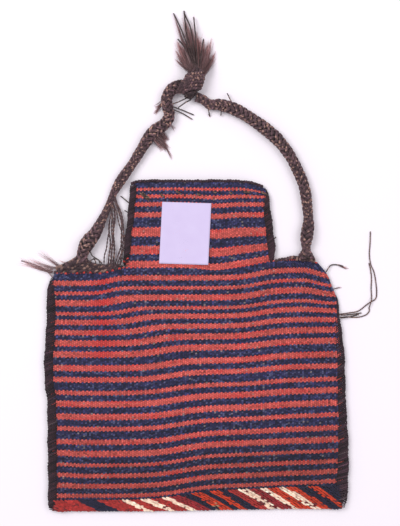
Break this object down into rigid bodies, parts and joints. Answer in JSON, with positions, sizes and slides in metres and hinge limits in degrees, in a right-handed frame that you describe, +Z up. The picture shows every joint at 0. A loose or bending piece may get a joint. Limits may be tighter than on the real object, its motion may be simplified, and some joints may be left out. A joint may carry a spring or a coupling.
{
  "type": "salt bag",
  "caption": "Flat woven wool salt bag with a narrow neck, open at its mouth, striped back up, overcast sides and braided straps tied in a tasselled knot.",
  "frame": {"origin": "on the resting surface, at the middle of the bag's own outline, which leaves out the straps, knot, tassel and loose yarns", "axes": "+X across the bag to the right as seen with the striped back up, +Y from the bottom fold towards the neck and the knot of the straps, +Z up from the surface it lies on"},
  "size_m": [0.5122, 0.7174, 0.0288],
  "materials": {
    "wool_navy": "matt weft-faced wool, dark indigo",
    "wool_red": "matt weft-faced wool, madder red",
    "wool_crimson": "matt wrapped wool, crimson",
    "wool_orange": "matt wrapped wool, orange red",
    "wool_cream": "matt wrapped wool, undyed cream",
    "binding_wool": "matt overcast wool, dark brown",
    "goat_hair_braid": "matt braided goat hair, brown grey",
    "goat_hair_tassel": "matt loose goat hair, brown grey",
    "loose_wool_yarn": "matt plied wool, grey brown",
    "label_paper": "thin uncoated paper, blank, pale lilac"
  },
  "bodies": {
    "root": {"bag_cloth": "wool_red", "left_side_binding": "binding_wool", "right_side_binding": "binding_wool", "left_neck_binding": "binding_wool", "right_neck_binding": "binding_wool", "mouth_cord_front": "binding_wool", "mouth_cord_back": "binding_wool", "left_shoulder_braid": "goat_hair_braid", "right_shoulder_braid": "goat_hair_braid", "strap_left": "goat_hair_braid", "strap_right": "goat_hair_braid", "strap_knot": "goat_hair_braid", "tassel": "goat_hair_tassel", "loose_yarn_outer": "loose_wool_yarn", "loose_yarn_inner": "loose_wool_yarn", "corner_strand": "loose_wool_yarn", "paper_label": "label_paper"}
  },
  "joints": []
}
